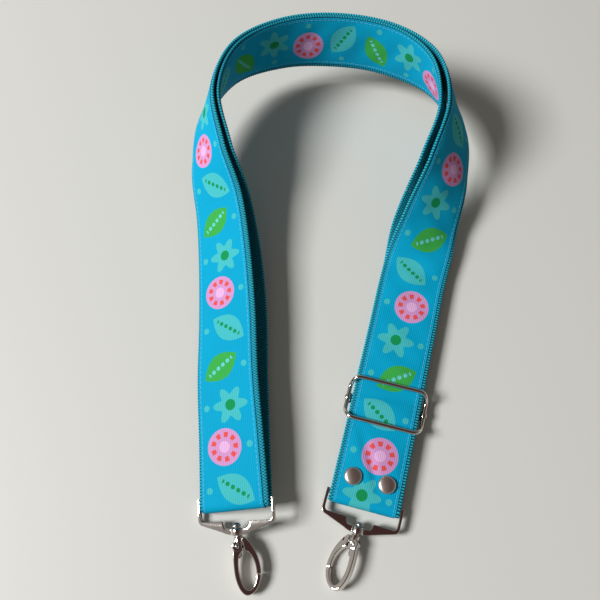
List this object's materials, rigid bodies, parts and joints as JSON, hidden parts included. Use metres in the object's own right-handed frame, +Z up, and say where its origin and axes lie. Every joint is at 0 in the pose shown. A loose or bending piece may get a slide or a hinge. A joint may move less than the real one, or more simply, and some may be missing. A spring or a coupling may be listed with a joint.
{
  "type": "detachable bag strap",
  "caption": "Adjustable bag strap of doubled webbing with a printed ribbon, a metal slide adjuster, cap rivets and a swivel snap clasp at each end.",
  "frame": {"origin": "middle of the strap's footprint, on the table it lies on", "axes": "+Y from the two clasps towards the top of the loop, +X from the plain leg to the leg with the slide adjuster, +Z up"},
  "size_m": [0.1788, 0.3412, 0.0638],
  "materials": {
    "webbing": "ribbed woven polypropylene",
    "ribbon": "printed satin-like ribbon",
    "thread": "sewing thread",
    "nickel": "nickel plated, polished",
    "steel": "satin"
  },
  "bodies": {
    "strap": {"webbing_long_run": "webbing", "ribbon_long_run": "ribbon", "stitch_row_raised_edge": "thread", "stitch_row_low_edge": "thread", "rivet_cap_outer": "nickel", "rivet_cap_inner": "nickel", "rivet_post_outer": "nickel", "rivet_post_inner": "nickel"},
    "slider_bar_body": {"slider_bar": "nickel", "webbing_bar_loop": "webbing", "ribbon_bar_loop": "ribbon"},
    "slider_frame_body": {"slider_frame": "nickel"},
    "left_clasp": {"left_clasp_frame": "nickel"},
    "left_hook_body": {"left_swivel_post": "steel", "left_hook": "nickel", "left_gate_pin": "steel", "left_gate_spring": "steel"},
    "left_gate_body": {"left_gate": "nickel"},
    "right_clasp": {"right_clasp_frame": "nickel"},
    "right_hook_body": {"right_swivel_post": "steel", "right_hook": "nickel", "right_gate_pin": "steel", "right_gate_spring": "steel"},
    "right_gate_body": {"right_gate": "nickel"}
  },
  "joints": [
    {"name": "slider_travel", "type": "slide", "parent": "strap", "child": "slider_bar_body", "axis": [0.2521, 0.9677, 0], "range_m": [-0.015, 0.025], "deforming": ["webbing_bar_loop", "ribbon_bar_loop"]},
    {"name": "slider_frame_play", "type": "slide", "parent": "slider_bar_body", "child": "slider_frame_body", "axis": [0.2521, 0.9677, 0], "range_m": [-0.004, 0.004]},
    {"name": "left_clasp_swing", "type": "hinge", "parent": "strap", "child": "left_clasp", "pos_m": [-0.05464, -0.12285, 0.00976], "axis": [0.9678, 0.0249, 0.2505], "range_deg": [-80, 80]},
    {"name": "left_hook_swivel", "type": "hinge", "parent": "left_clasp", "child": "left_hook_body", "pos_m": [-0.05305, -0.14093, 0.00685], "axis": [0.2099, -0.9697, -0.1246], "continuous": true},
    {"name": "left_gate_turn", "type": "hinge", "parent": "left_hook_body", "child": "left_gate_body", "pos_m": [-0.05345, -0.14588, 0.00623], "axis": [-0.0138, 0.1245, -0.9921], "range_deg": [0, 22], "stiffness_Nm_per_rad": 0.03, "springref_deg": -11.46},
    {"name": "right_clasp_swing", "type": "hinge", "parent": "strap", "child": "right_clasp", "pos_m": [0.01634, -0.12277, 0.005], "axis": [-0.9583, 0.2857, -0.0001], "range_deg": [-80, 80]},
    {"name": "right_hook_swivel", "type": "hinge", "parent": "right_clasp", "child": "right_hook_body", "pos_m": [0.01081, -0.1403, 0.00505], "axis": [-0.4003, -0.9164, 0.0026], "continuous": true},
    {"name": "right_gate_turn", "type": "hinge", "parent": "right_hook_body", "child": "right_gate_body", "pos_m": [0.01007, -0.14521, 0.00571], "axis": [-0.4154, 0.184, 0.8908], "range_deg": [0, 22], "stiffness_Nm_per_rad": 0.03, "springref_deg": -11.46}
  ]
}
